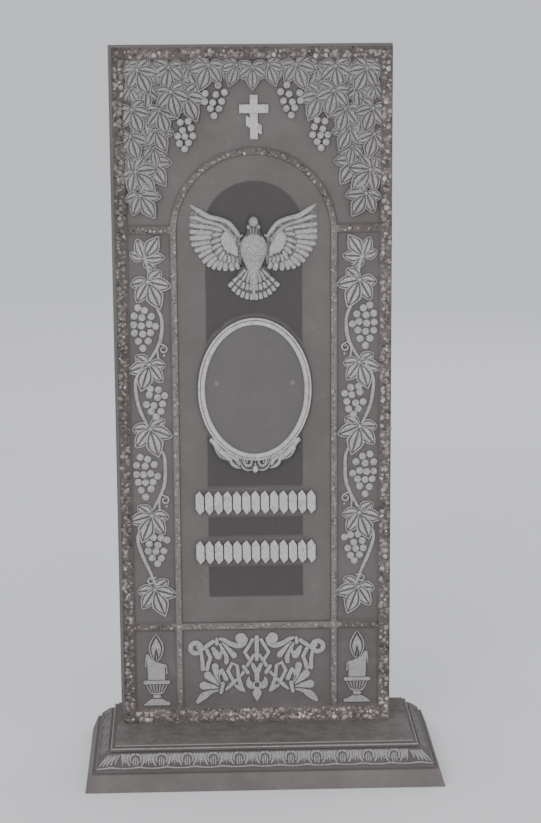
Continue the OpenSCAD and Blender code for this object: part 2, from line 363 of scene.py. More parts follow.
class Finish:
    """A material and the helpers that add its nodes."""

    def __init__(self, name, roughness=0.85, specular=0.3):
        self.material = bpy.data.materials.new(name)
        self.material.use_nodes = True
        self.nodes = self.material.node_tree.nodes
        self.links = self.material.node_tree.links
        self.shader = next(n for n in self.nodes if n.type == "BSDF_PRINCIPLED")
        self.shader.inputs["Roughness"].default_value = roughness
        self.shader.inputs["Specular IOR Level"].default_value = specular
        self.place = self.node("ShaderNodeTexCoord", out="Object")

    def node(self, kind, settings=None, inputs=None, out=0):
        n = self.nodes.new(kind)
        for key, value in (settings or {}).items():
            if key == "stops":
                ramp = n.color_ramp
                while len(ramp.elements) < len(value):
                    ramp.elements.new(0.5)
                for element, (at, colour) in zip(ramp.elements, value):
                    element.position, element.color = at, rgb(colour)
            elif key == "interpolation":
                n.color_ramp.interpolation = value
            else:
                setattr(n, key, value)
        for key, value in (inputs or {}).items():
            self.feed(n.inputs[key], value)
        return Value(self, n.outputs[out])

    def feed(self, socket, value):
        if isinstance(value, Value):
            self.links.new(value.output, socket)
        else:
            socket.default_value = rgb(value) if isinstance(value, str) else value

    def mix(self, factor, a, b):
        return self.node("ShaderNodeMix", {"data_type": "RGBA", "clamp_factor": True},
                         {0: factor, 6: a, 7: b}, out=2)

    def noise(self, scale, detail=4, rough=0.55, place=None, distortion=0):
        return self.node("ShaderNodeTexNoise", {}, {
            "Vector": place or self.place, "Scale": scale, "Detail": detail, "Roughness": rough,
            "Distortion": distortion})

    def cells(self, scale, out="Distance"):
        return self.node("ShaderNodeTexVoronoi", {}, {"Vector": self.place, "Scale": scale}, out=out)

    def ramp(self, value, low, high, to_low=0.0, to_high=1.0):
        return self.node("ShaderNodeMapRange", {"interpolation_type": "SMOOTHSTEP", "clamp": True}, {
            "Value": value, "From Min": low, "From Max": high, "To Min": to_low, "To Max": to_high})

    def attribute(self, name):
        return self.node("ShaderNodeAttribute", {"attribute_name": name}, out="Fac")

    def scaled(self, colour, factor):
        return self.node("ShaderNodeVectorMath", {"operation": "SCALE"}, {0: colour, "Scale": factor})

    def axes(self):
        split = self.node("ShaderNodeSeparateXYZ", {}, {0: self.place})
        return [Value(self, o) for o in split.output.node.outputs]

    def on_face(self, stretch=STRETCH):
        """Millimetres to the right and up on the slab's face, on the bench or, with stretch 1, as it
        stands."""
        x, _, z = self.axes()
        return (x - FACE_X) * (1 / MM), (z - stele_low.z) * (1 / MM / stretch)

    def stretched(self, x, y, z):
        return self.node("ShaderNodeMapping", {}, {"Vector": self.place, "Scale": (x, y, z)})

    def done(self, colour, height, roughness, strength, distance=0.001):
        self.feed(self.shader.inputs["Base Color"], colour)
        if roughness is not None:
            self.feed(self.shader.inputs["Roughness"], roughness)
        self.feed(self.shader.inputs["Normal"], self.node("ShaderNodeBump", {}, {
            "Strength": strength, "Distance": distance, "Height": height}))
        return self.material


def concrete(f, dark, mid, light, pits=1.0):
    """Cast concrete: clouds, fine sand and pin holes with painted shade in them. Gives its colour and its
    height.
    """
    clouds = f.noise(7, 5, 0.6)
    grime = f.noise(26, 6, 0.65, distortion=0.4)
    sand = f.noise(900, 2, 0.6)
    grit = f.noise(310, 3, 0.6)
    colour = f.mix(f.ramp(clouds, 0.35, 0.68), dark, mid)
    colour = f.mix(f.ramp(grime, 0.5, 0.75) * 0.32, colour, light)
    colour = f.mix(f.ramp(grit, 0.56, 0.75) * 0.3, colour, light)
    colour = f.mix(f.ramp(sand, 0.58, 0.38) * 0.35, colour, dark)
    holes = f.ramp(f.cells(170), 0.10, 0.03) * f.ramp(f.noise(40, 2), 0.52, 0.62) * pits
    # painted shade: the pin holes are darkened as well as sunk
    colour = f.mix(holes * 0.7, colour, "3a3736")
    height = grit * 0.6 + sand * 0.35 + clouds * 0.4 - holes * 1.6
    return colour, height


def panel_concrete():
    f = Finish("panel_concrete", 0.88)
    colour, height = concrete(f, "625d5c", "6c6766", "807c7b")
    return f.done(colour, height, f.ramp(f.noise(60), 0.3, 0.7, 0.8, 0.95), 0.55)


def field_concrete():
    """The portrait field: plain and smooth, with a pale fixing mark at each side."""
    f = Finish("field_concrete", 0.84)
    bare, height = concrete(f, "625f5f", "676464", "757171", 0.2)
    u, v = f.on_face()
    reach = (abs(u) - 69.5) ** 2 + (v - OVAL_Z - 12) ** 2
    marks = f.ramp(reach + f.noise(300, 3) * 14, 42, 8)
    colour = f.mix(marks * 0.45, bare, "8f8986")
    return f.done(colour, height * 0.5, f.ramp(f.noise(60), 0.3, 0.7, 0.8, 0.9), 0.35)


def niche_concrete():
    """The niche: bare slopes and, on the floor, dark paint that stops short of the oval and the strokes."""
    f = Finish("niche_concrete", 0.85)
    bare, height = concrete(f, "64605d", "6d6867", "807b79", 0.5)
    u, v = f.on_face()
    wobble = (f.noise(30, 3) - 0.5) * 7
    brush = f.noise(1, 4, 0.6, f.stretched(160, 160, 22))
    ring = (((u * (1 / (OVAL_RX + 5))) ** 2 + ((v - OVAL_Z) * (1 / (OVAL_RZ + 5))) ** 2) - 1) * 60 + wobble
    side = abs(u) - (BAR_IN - MARGIN) + wobble * 0.3
    edge = f.ramp(ring, -2, 4) * f.ramp(side, 2, -2)
    for at in ROW_Z:
        edge = edge * f.ramp(abs(v - at) - 29 + wobble * 0.3, -2, 2, 0.35, 1)
    depth = (f.axes()[1] - (stele_low.y + PROUD * MM)) * (1 / MM)
    edge = edge * f.ramp(depth, -NICHE - 0.7, -NICHE - 0.2)
    colour = f.mix(edge * f.ramp(brush, 0.2, 0.5, 0.82, 1), bare, f.mix(brush, "434040", "4e4b4b"))
    return f.done(colour, height * 0.7 + brush * 0.3, f.ramp(edge, 0, 1, 0.88, 0.68), 0.4)


def cement_and_painted_light(f, colour):
    """Exposed stone: paler at the foot as painted light, smeared with cement on the upright bars, and
    darker at the top and along the left edge."""
    u, v = f.on_face(1)
    bars = f.ramp(abs(u), 158, 152) * f.ramp(v, 40, 60) * f.ramp(v, 990, 930)
    # painted light: the foot is brightened; the top and the left edge are made darker
    shade = f.ramp(v, 20, 60, 1.3, 1) * f.ramp(v, 1210, 1240, 1, 0.86) * f.ramp(u, -226, -218, 0.76, 1)
    return f.mix(bars * 0.5, f.scaled(colour, shade * (1 + bars * 0.22)), "817e7b")


def border_stone():
    """The bed of the exposed stone: rough matrix with painted shade in its hollows, and fine gravel."""
    f = Finish("border_stone", 0.9)
    bed, height = concrete(f, "5d5753", "6e6864", "878179")
    gravel = f.cells(230)
    tone = f.node("ShaderNodeSeparateColor", {}, {0: f.cells(230, out="Color")})
    stones = f.node("ShaderNodeValToRGB", {"interpolation": "CONSTANT", "stops": [
        (0, "726b68"), (0.3, "8d8481"), (0.5, "5f5957"), (0.66, "a0948f"),
        (0.8, "937e79"), (0.92, "4a4543")]}, {0: tone})
    mask = f.ramp(gravel, 0.45, 0.3) * f.ramp(f.noise(55, 3), 0.42, 0.55)
    colour = f.mix(mask * 0.85, bed, stones)
    # painted shade: dark patches in the matrix's hollows, which the bump also sinks
    shaded_gaps = f.ramp(f.noise(120, 4, 0.7), 0.42, 0.32)
    colour = f.mix(shaded_gaps * 0.6, colour, "3a3635")
    return f.done(cement_and_painted_light(f, colour), height * 0.5 + mask * 1.2 - shaded_gaps * 1.6, None, 0.9, 0.0012)


def stone_chips():
    """Loose chips set in the border, each with its own tone."""
    f = Finish("stone_chips", 0.7, 0.4)
    tone = f.attribute("tone")
    base = f.node("ShaderNodeValToRGB", {"interpolation": "LINEAR", "stops": [
        (0, "3f3b39"), (0.14, "59534f"), (0.3, "736c69"), (0.48, "857e7a"),
        (0.64, "8f827c"), (0.78, "9b8f8a"), (0.91, "a29d99"), (1, "c3bfbc")]}, {0: tone})
    speck = f.noise(500, 3, 0.6)
    veins = f.noise(140, 4, 0.7, distortion=1.5)
    colour = f.mix(f.ramp(speck, 0.55, 0.7) * 0.4, base, "c6c0bc")
    colour = f.mix(f.ramp(veins, 0.5, 0.36) * 0.45, colour, "57504d")
    rough = f.ramp(speck, 0.3, 0.7, 0.55, 0.85)
    return f.done(cement_and_painted_light(f, colour), speck * 0.6 + veins, rough, 0.5, 0.0006)


def painted_relief(name, light, bright, cover, grain):
    """Raised work brushed with pale paint: full on its crests, none in its grooves."""
    f = Finish(f"{name}_paint", 0.8)
    bare, height = concrete(f, "575352", "676261", "7a7574", 0.5)
    drag = f.noise(420, 4, 0.7)
    patches = f.noise(90, 4, 0.65)
    brushed = f.attribute("paint") + (drag - 0.5) * 0.55 + (patches - 0.5) * 0.5
    coat = f.ramp(brushed, 0.34, 0.66) * cover
    pale = f.mix(f.ramp(f.noise(650, 3, 0.7), 0.35, 0.7), light, bright)
    pale = f.mix(f.ramp(patches, 0.52, 0.36) * 0.35, pale, "858180")
    pale = f.mix(f.ramp(f.noise(360, 4, 0.8), 0.56, 0.4) * grain, pale, "6b6766")
    bumps = height * 0.7 + drag * 0.4 + coat * 0.3
    return f.done(f.mix(coat, bare, pale), bumps, f.ramp(coat, 0, 1, 0.88, 0.7), 0.5, 0.0008)


def plinth_concrete():
    """The plinth: a smooth fascia, darker mouldings above it, and a coarsely trowelled top."""
    f = Finish("plinth_concrete", 0.86)
    fair, height = concrete(f, "696361", "787270", "8b8683", 0.7)
    z = f.axes()[2]
    above = f.ramp(z, plinth_high.z - 1.2 * MM, plinth_high.z - 0.5 * MM)
    streaks = f.noise(1, 5, 0.7, f.stretched(38, 52, 60))
    coarse = f.noise(150, 4, 0.7)
    rough_top = f.mix(f.ramp(streaks, 0.3, 0.66), "67615f", "797370")
    rough_top = f.mix(f.ramp(coarse, 0.53, 0.7) * 0.6, rough_top, "8f8a86")
    rough_top = f.mix(f.ramp(f.noise(22, 5, 0.7), 0.5, 0.34) * 0.3, rough_top, "544f4c")
    colour = f.mix(above, fair, rough_top)
    carved = f.ramp(z, plinth_high.z - 43 * MM, plinth_high.z - 41 * MM)
    worn = f.noise(60, 5, 0.7)
    colour = f.mix(carved * (1 - above) * 0.55, colour, "57524f")
    # pale dry-brushed paint on the mouldings' edges, which along the top edge and the fillet is also a
    # painted highlight
    brushed = f.attribute("paint") + (f.noise(200, 4, 0.7) - 0.5) * 0.5 + (worn - 0.5) * 0.5
    touch = f.ramp(brushed, 0.5, 0.85)
    colour = f.mix(touch * (1 - above) * 0.85, colour, "aaa7a4")
    bumps = height + above * (coarse * 1.6 + streaks * 1.2)
    return f.done(colour, bumps, f.ramp(worn, 0.3, 0.7, 0.78, 0.93), 0.6)


# ---- slab ----

def arch(radius, start=0.0):
    """The arch's curve of that radius, from right to left, start above the springing at both ends."""
    angles = [start + (pi - 2 * start) * i / ARC_STEPS for i in range(ARC_STEPS + 1)]
    return [(radius * cos(a), SPRING + radius * sin(a)) for a in angles]


def box_outline(x0, y0, x1, y1):
    return [(x0, y0), (x1, y0), (x1, y1), (x0, y1)]


LIP = 0.8  # upright edge of a sunk panel, above its sloped rim
PANEL_RIM = ((3.6, GROUND + LIP),)


def recess(outline, steps=PANEL_RIM):
    """A cutter for a sunk panel, from above the face down to its ground."""
    return plate(outline, 10, -LIP, steps)


def slab_recesses():
    """Cutters for the sunk panels and the niche."""
    head = [(-PANEL_X, SPRING_TOP), (-PANEL_X, PANEL_TOP), (PANEL_X, PANEL_TOP), (PANEL_X, SPRING_TOP)]
    cutters = [recess(head + arch(BAR_OUT, asin((SPRING_TOP - SPRING) / BAR_OUT)))]
    for foot, top in ((FOOT_BAR_TOP, SPRING), (FOOT_BORDER, FOOT_BAR)):
        for x0, x1 in ((-PANEL_X, -BAR_OUT), (BAR_OUT, PANEL_X)):
            cutters.append(recess(box_outline(x0, foot, x1, top)))
    cutters.append(recess(box_outline(-BAR_IN, FOOT_BORDER, BAR_IN, FOOT_BAR)))
    niche = [(-BAR_IN, FOOT_BAR_TOP), (BAR_IN, FOOT_BAR_TOP)] + arch(BAR_IN)
    cutters.append(recess(niche, [(1.8, NICHE_EDGE + LIP), (MARGIN - 1.8, NICHE - NICHE_EDGE)]))
    return join("recesses", cutters)


def slab():
    """The slab with its sunk panels, narrower in front than behind."""
    o = fresh(bpy.ops.mesh.primitive_cube_add, size=1, location=(0, SLAB_H / 2, -SLAB_T / 2),
              scale=(BACK_W, SLAB_H, SLAB_T))
    o.name = "slab"
    bpy.ops.object.transform_apply(location=True, rotation=True, scale=True)
    with editing(o, lambda face: face.normal.z > 0.9):
        bpy.ops.transform.resize(value=(FRONT_W / BACK_W, 1, 1), center_override=(0, SLAB_H / 2, 0))
    recesses = slab_recesses()
    modified(o, "BOOLEAN", operation="DIFFERENCE", solver="EXACT", object=recesses)
    discard(recesses)
    modified(o, "BEVEL", width=0.8, segments=2, limit_method="ANGLE", angle_limit=radians(30))
    for name in ("panel", "border", "niche"):
        o.data.materials.append(FINISH[name])
    for face in o.data.polygons:
        c = face.center
        under_arch = c.y < SPRING or c.x ** 2 + (c.y - SPRING) ** 2 < BAR_IN ** 2
        if c.z > -1.5:
            face.material_index = 1
        elif under_arch and abs(c.x) < BAR_IN - 0.5 and c.y > FOOT_BAR_TOP + 0.5 and c.z > NICHE - 1:
            face.material_index = 2
    finished(o)
    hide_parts("stele")


# ---- exposed stone ----

LEFT_OUT = 0.06  # share of the chips that are missing
KERB = 2.5  # bare strip beside a panel or an edge
BORDER_CHIPS, BAR_CHIPS = (2.4, 5.9), (1.8, 3.9)  # smallest and largest half length


def chip_shapes():
    """Five angular chips, their feet cut off flat."""
    shapes = []
    for i in range(5):
        o = fresh(bpy.ops.mesh.primitive_ico_sphere_add, subdivisions=2, radius=1)
        cuts = ((40 + 70 * i, 0.5, 0.72), (170 + 50 * i, 0.3, 0.66), (290 + 60 * i, 1.1, 0.7))
        with editing(o):
            bpy.ops.transform.vertex_random(offset=0.16, uniform=1, normal=0, seed=i + 3)
            for turn, tilt, reach in cuts:
                a = radians(turn)
                way = Vector((cos(a), sin(a), tilt)).normalized()
                bpy.ops.mesh.select_all(action="SELECT")
                bpy.ops.mesh.bisect(plane_co=way * reach, plane_no=way, use_fill=True, clear_outer=True)
            bpy.ops.mesh.select_all(action="SELECT")
            bpy.ops.mesh.bisect(plane_co=(0, 0, -0.2), plane_no=(0, 0, 1), use_fill=True, clear_inner=True)
        o.data.attributes.new("tone", "FLOAT", "POINT")
        shapes.append(o)
    return shapes


def stone_places(x0, y0, x1, y1, pitch):
    """Scattered places in a rectangle: (x, y)."""
    columns = max(round((x1 - x0) / pitch), 1)
    rows = max(round((y1 - y0) / pitch), 1)
    for i in range(columns):
        for j in range(rows):
            yield (x0 + (i + random.uniform(0.1, 0.9)) * (x1 - x0) / columns,
                   y0 + (j + random.uniform(0.1, 0.9)) * (y1 - y0) / rows)


def set_chips(name, shapes, places, small, large):
    """Chips of random size, turn and tone at the places, with a few left out."""
    copies = []
    for x, y in places:
        if random.random() < LEFT_OUT:
            continue
        size = random.uniform(small, large)
        shape = random.choice(shapes)
        high = size * random.uniform(0.32, 0.46)
        c = copy(shape, Matrix.Translation((x, y, -high * random.uniform(0, 0.3)))
                 @ Matrix.Rotation(random.uniform(0, 2 * pi), 4, "Z")
                 @ Matrix.Diagonal((size, size * random.uniform(0.6, 0.95), high, 1)))
        tone = random.random() ** 0.9
        c.data.attributes["tone"].data.foreach_set("value", [tone] * len(c.data.vertices))
        copies.append(c)
    finished(join(name, copies), "chips", angle=28)


def exposed_stone():
    shapes = chip_shapes()
    edge = FRONT_W / 2 - 3
    for name, x0, x1 in (("left", -edge, -PANEL_X - KERB), ("right", PANEL_X + KERB, edge)):
        places = list(stone_places(x0, 4, x1, SLAB_H - 6, 6.5))
        set_chips(f"border_chips_{name}", shapes, places, *BORDER_CHIPS)
    ends = [place for low, high in ((PANEL_TOP + 3, SLAB_H - 6), (4, FOOT_BORDER - 3))
            for place in stone_places(-PANEL_X, low, PANEL_X, high, 6.3)]
    set_chips("border_chips_ends", shapes, ends, *BORDER_CHIPS)
    bars = []
    for side in (-1, 1):
        x = side * (BAR_IN + BAR_OUT) / 2
        bars += stone_places(x - 3.5, FOOT_BORDER, x + 3.5, SPRING, 6.4)
        inner, outer = sorted((side * BAR_OUT, side * PANEL_X))
        bars += stone_places(inner, SPRING + KERB, outer, SPRING_TOP - KERB, 6.6)
    bars += stone_places(-PANEL_X, FOOT_BAR + KERB, PANEL_X, FOOT_BAR_TOP - KERB, 6.6)
    arch_chips = 72
    for i in range(arch_chips):
        a, r = pi * (i + random.random()) / arch_chips, random.uniform(BAR_IN + 2, BAR_OUT - 2)
        bars.append((r * cos(a), SPRING + r * sin(a)))
    set_chips("bar_chips", shapes, bars, *BAR_CHIPS)
    discard(*shapes)


# ---- vine ----

LEAF = 44  # the pattern leaf, from stalk to tip
LOBE_HALF = 12.4  # and half the width of a lobe
LEAF_DIP, LEAF_CREST = -0.8, 0.95  # foot and top of its rims and pads


def lobe_half(t, pointed):
    """Half width of a lobe at t of its length: a kite with a sharp tip, or a rounder end."""
    if not pointed:
        return LOBE_HALF * sin(pi * t ** 0.9) ** 0.72
    if t < 0.58:
        return LOBE_HALF * sin(pi / 2 * t / 0.58) ** 0.9
    return LOBE_HALF * (1 - ((t - 0.58) / 0.42) ** 1.35)


def lobe(pointed):
    """One lobe, tip up: a ground plate, a raised rim, and two crowned pads either side of the midrib."""
    edge = [(lobe_half(i / 14, pointed), LEAF * i / 14) for i in range(15)]
    rim = [(-(w - 1), y, 2.5) for w, y in edge[1:-1]] + [(0, LEAF - 0.8, 1.9)]
    pad = [(-max(w - 3, 2) / 2, y, max(w - 5, 1.5)) for w, y in [(2, 1)] + edge[1:13]]
    outline = [(-w, y) for w, y in edge[:-1]] + [(0, LEAF)] + [(w, y) for w, y in edge[-2:0:-1]]
    half = join("half", [rib(rim, LEAF_DIP, LEAF_CREST, 1, 1), rib(pad, LEAF_DIP, LEAF_CREST, 1, 2)])
    return join("lobe", [unpainted(plate(outline, -4, 0)), half, copy(half, MIRROR)])


def leaf():
    """Five lobes round a stalk: a pointed one, and rounder, shorter ones either side, with a ribbed web
    between."""
    pointed, rounded = lobe(True), lobe(False)
    parts = [copy(rounded, placed(0, 0, s * turn, lift=drop) @ Matrix.Diagonal((wide, long, 1, 1)))
             for turn, wide, long, drop in ((104, 0.82, 0.58, -1.8), (53, 0.86, 0.78, -0.9))
             for s in (1, -1)]
    parts.append(copy(pointed, placed(0, 0)))
    discard(pointed, rounded)
    half = [(r * sin(radians(a)), r * cos(radians(a)))
            for a, r in ((150, 8), (122, 15), (104, 20), (79, 21), (53, 27), (27, 28), (8, 32))]
    web = plate([(0, -5)] + half + [(-x, y) for x, y in half[::-1]], -4, -2.1)
    veins = [rib(knots, -3, top) for knots, top in (
        ([(0, 9, 2), (0, 18, 3.2), (0, 25, 3.4), (0, 29, 1.6)], -0.6),
        ([(0, 8, 2), (0, 14, 3), (0, 19, 3.2), (0, 22, 1.4)], -1.2))]
    parts += [copy(vein, placed(0, 0, s * turn)) for vein, turn in zip(veins, (27, 79)) for s in (1, -1)]
    discard(*veins)
    return join("leaf", parts + [unpainted(web), dome(0, 0.5, 3, 3, -3, 1.05)])


def kept_in_panel(o):
    """Presses leaves that would lap over the border up against the edge of the panel."""
    press = 0.93
    for v in o.data.vertices:
        v.co.x -= copysign(press * max(abs(v.co.x) - PANEL_X - 1, 0), v.co.x)
        v.co.y -= press * max(v.co.y - PANEL_TOP - 1, 0)
    return o


# Canopy leaves of one side: stalk x, y, direction of the tip clockwise from up, length, layer.
CANOPY = [
    (28, 1219, 160, 42, 1), (78, 1219, 160, 50, 2), (114, 1216, 205, 44, 0), (148, 1216, 172, 48, 1),
    (204, 1211, 206, 50, 1), (188, 1180, 176, 42, 0), (219, 1182, 205, 38, 0), (215, 1142, 200, 48, 2),
    (166, 1141, 196, 48, 1), (145, 1173, 193, 50, 3), (120, 1166, 204, 52, 2), (174, 1106, 206, 46, 1),
    (218, 1096, 196, 48, 1), (186, 1050, 214, 54, 0), (211, 1033, 222, 54, 2), (203, 991, 212, 50, 3),
    (178, 1075, 190, 36, 0), (222, 1060, 190, 34, 0), (52, 1224, 190, 34, 0), (176, 1218, 190, 38, 0),
    (196, 1128, 190, 40, 0), (132, 1196, 190, 36, 0), (222, 1218, 230, 34, 0), (190, 1000, 190, 34, 0),
]
LAYER, SHADE = 1.7, 0.17  # steps between layers, and within one
LEAF_LIFT = GROUND + 3.8  # height of the lowest leaves
SIDE_LEAVES = [(-198, 877, 34, 49), (-192, 835, 156, 56), (-192, 684, 198, 53), (-193, 565, 164, 57),
               (-192, 402, 201, 56), (-190, 260, 159, 56)]
TOP_GRAPES = [(-61, 1183), (-50, 1171), (-65, 1167), (-84, 1169), (-55, 1155), (-71, 1153), (-85, 1155),
              (-60, 1142), (-75, 1143), (-69, 1130), (-129, 1119), (-115, 1121), (-110, 1109), (-125, 1105),
              (-107, 1095), (-121, 1094), (-134, 1095), (-131, 1082), (-115, 1083), (-122, 1072)]
SIDE_GRAPES = [(-211, 788), (-199, 783), (-218, 773), (-204, 770), (-187, 772), (-219, 757), (-205, 755),
               (-191, 758), (-179, 754), (-218, 742), (-203, 740), (-189, 742), (-211, 727), (-193, 727),
               (-203, 714), (-191, 639), (-176, 637), (-193, 628), (-178, 623), (-165, 626), (-199, 610),
               (-185, 608), (-169, 611), (-190, 597), (-172, 597), (-181, 587), (-212, 512), (-198, 508),
               (-219, 497), (-203, 495), (-186, 498), (-219, 480), (-206, 479), (-193, 481), (-180, 476),
               (-216, 465), (-203, 464), (-189, 465), (-211, 450), (-193, 452), (-203, 437), (-190, 360),
               (-176, 359), (-165, 355), (-182, 345), (-198, 348), (-200, 334), (-186, 333), (-171, 334),
               (-193, 321), (-176, 320), (-183, 310)]
STEMS = [[(-205, 905, 4), (-196, 880, 6), (-190, 850, 6)],
         [(-186, 798, 4), (-178, 790, 6), (-168, 765, 7.4), (-172, 725, 8), (-192, 690, 5)],
         [(-202, 684, 4), (-214, 664, 6), (-218, 642, 7.4), (-212, 604, 7.6), (-197, 570, 5)],
         [(-180, 530, 4), (-170, 520, 6), (-166, 500, 7.4), (-169, 456, 8), (-190, 412, 5)],
         [(-202, 388, 4), (-215, 372, 6), (-219, 355, 7.4), (-211, 326, 7.8), (-198, 296, 7),
          (-187, 268, 5)],
         [(-176, 720, 4), (-177, 708, 5), (-175, 694, 4)], [(-176, 436, 4), (-178, 425, 5), (-177, 411, 4)]]
# Curls: x, y, radius, where the tail leaves, and which way they wind.
CURLS = [(-166, 712, 6.4, 95, -1), (-167, 431, 6.4, 95, -1), (-195.5, 277, 6, 60, 1)]


def hoop(x, y, r, w, low, high):
    """A round-backed ring."""
    o = fresh(bpy.ops.mesh.primitive_torus_add, major_radius=r - w / 2, minor_radius=w / 2,
              major_segments=20, minor_segments=6)
    o.data.transform(Matrix.Translation((x, y, low)) @ Matrix.Diagonal((1, 1, 2 * (high - low) / w, 1)))
    return paint(o, low + 0.3 * (high - low), low + 0.75 * (high - low))


def curl(x, y, r, start, w, low=GROUND, high=GROUND + 4.4, way=1):
    """A tendril that winds in on itself, its tail at start degrees."""
    knots = []
    for turn, reach, width in ((-30, 1.9, 0.8), (0, 1.2, 1), (60, 1, 1), (120, 1, 1), (180, 0.95, 1),
                               (240, 0.85, 0.9), (300, 0.7, 0.8), (360, 0.5, 0.7), (420, 0.3, 0.7)):
        a = radians(start + way * turn)
        knots.append((x + r * reach * cos(a), y + r * reach * sin(a), w * width))
    return rib(knots, low, high)


def vines():
    pattern = leaf()
    grape = dome(0, 0, 1, 1, 0, 1)
    for side, flip in (("left", MIRROR), ("right", Matrix.Identity(4))):
        leaves = []
        for i, (x, y, turn, size, layer) in enumerate(CANOPY):
            lift = LEAF_LIFT + LAYER * layer - SHADE * (i % 4)
            leaves.append(copy(pattern, flip @ placed(x, y, turn, size / LEAF, lift)))
        finished(kept_in_panel(join(f"canopy_leaves_{side}", leaves)), "canopy")
    middle = copy(pattern, placed(0, 1215, 180, 42 / LEAF, LEAF_LIFT + LAYER * 2))
    finished(join("canopy_leaf_middle", [middle]), "canopy")
    leaves = [copy(pattern, placed(x, y, turn, size / LEAF, LEAF_LIFT)) for x, y, turn, size in SIDE_LEAVES]
    finished(kept_in_panel(both_sides("vine_leaves", join("side", leaves))), "vine")
    bunches = []
    for places, r, high, least, most in (
            (TOP_GRAPES, 6.9, 9.4, 0.55, 0.95), (SIDE_GRAPES, 7.2, 4.2, 0.62, 1.2)):
        for x, y in places:
            one = copy(grape, Matrix.Translation((x, y, GROUND)) @ Matrix.Diagonal((r, r, high, 1)))
            bunches.append(worn(one, random.uniform(least, most)))
    finished(both_sides("grapes", join("bunches", bunches)), "vine", angle=60)
    stems = [rib(knots, GROUND, GROUND + 4.6) for knots in STEMS]
    stems += [curl(x, y, r, start, 4, way=way) for x, y, r, start, way in CURLS]
    stems += [dome(-164.5, y, 2.2, 2.8, GROUND, GROUND + 3.4) for y in (700, 419)]
    finished(both_sides("vine_stems", join("stems", stems)), "vine", angle=60)
    discard(pattern, grape)


# ---- cross and dove ----

def cross():
    """Post, straight bar and slanting foot bar, each a little lower than the one before."""
    finished(join("cross", [raised(outline, PANEL_BED, GROUND + top) for outline, top in (
        (box_outline(-5, 1088, 9, 1166), 5.3), (box_outline(-24, 1134, 28, 1149), 5.2),
        ([(-12, 1112), (16, 1096), (16, 1112), (-12, 1130)], 5.1))]), "bright")


# Main feathers of the left wing, and the coverts over their roots: root x, y, tip x, y, width.
FEATHERS = [(-71, 930, -115, 936, 8), (-75, 921, -115, 924, 9.2), (-77, 914, -115, 912, 9.6),
            (-79, 905, -112, 900, 8.4), (-77, 898, -106, 889, 9), (-76, 891, -99, 878, 9),
            (-72, 883, -92, 868, 9), (-67, 877, -83, 861, 9), (-62, 871, -74, 856, 8.4),
            (-57, 869, -63, 854, 8.6), (-50, 867, -51, 853, 9.6), (-40, 867, -38, 853, 9.4),
            (-31, 868, -27, 856, 8)]
COVERTS = [(-57, 925, -71, 929, 7.4), (-57, 919, -75, 917, 7), (-58, 910, -77, 903, 7.6),
           (-59, 901, -75, 892, 7.4), (-56, 895, -68, 883, 8), (-53, 888, -61, 873, 7.8),
           (-50, 882, -53, 869, 7), (-44, 880, -44, 868, 7), (-38, 878, -36, 867, 6.4),
           (-31, 876, -28, 867, 5.6)]
FULLER = 1.2  # widens them until they touch
SHOULDER = [(-50, 926), (-40, 915), (-33, 905), (-29, 893), (-28, 880), (-32, 879), (-36, 883), (-39, 882),
            (-43, 886), (-47, 885), (-50, 890), (-54, 892), (-55, 898), (-59, 902), (-58, 909), (-60, 913),
            (-56, 919)]
DOWN = [(-34, 888, 20), (-41, 891, 8), (-48, 897, -8), (-52, 905, -30), (-37, 899, 15), (-44, 904, -5),
        (-34, 908, 30), (-44, 914, -20)]
LEADING_EDGE = [(-114, 972, 3), (-106, 966, 8), (-94, 958, 10.5), (-80, 950, 10.5), (-62, 946, 9),
                (-45, 939, 9), (-34, 927, 9), (-25, 915, 7), (-19, 918, 2)]
SECOND_EDGE = [(-115, 949, 5), (-104, 949, 9), (-88, 943, 9), (-70, 938, 7.5), (-55, 931, 7.5),
               (-42, 919, 7.5), (-31, 906, 5)]
WING = [(-112, 968), (-92, 955), (-62, 943), (-42, 935), (-24, 912), (-22, 868), (-27, 858), (-38, 855),
        (-51, 856), (-63, 858), (-74, 860), (-83, 864), (-92, 871), (-99, 881), (-106, 892), (-111, 902),
        (-114, 914), (-114, 950)]
# Rows of the tail's left half: tips, where they start from the hub, width, top.
TAIL = [([(-45, 824), (-38, 815.6), (-30.4, 809), (-22, 804), (-13, 801), (-4, 799.4)], 0.83, 9.4, 6.4),
        ([(-36.6, 833), (-29.4, 826), (-21.6, 821), (-13, 818), (-5, 817)], 0.78, 8.8, 7.4),
        ([(-27, 842), (-20, 836), (-12, 832.6), (-5, 831)], 0.5, 7.6, 8.4)]
TAIL_GROUND = [(1, 860), (1, 801), (-20, 806), (-43, 824), (-22, 860)]
BODY = [(0, 938, 7), (0, 928, 12), (0, 919, 25), (0, 911, 40), (0, 902, 50), (0, 892, 53), (0, 880, 48),
        (0, 868, 37), (0, 855, 26), (0, 842, 17), (0, 829, 10.6), (0, 816, 7), (0, 801, 5)]
NECK = [(-9, 940), (-11, 926), (-14, 913), (14, 913), (11, 926), (9, 940)]


def feather_ground(outline, high):
    return paint(plate(outline, NICHE_BED, NICHE + high), NICHE + 2.4, NICHE + 6.6)


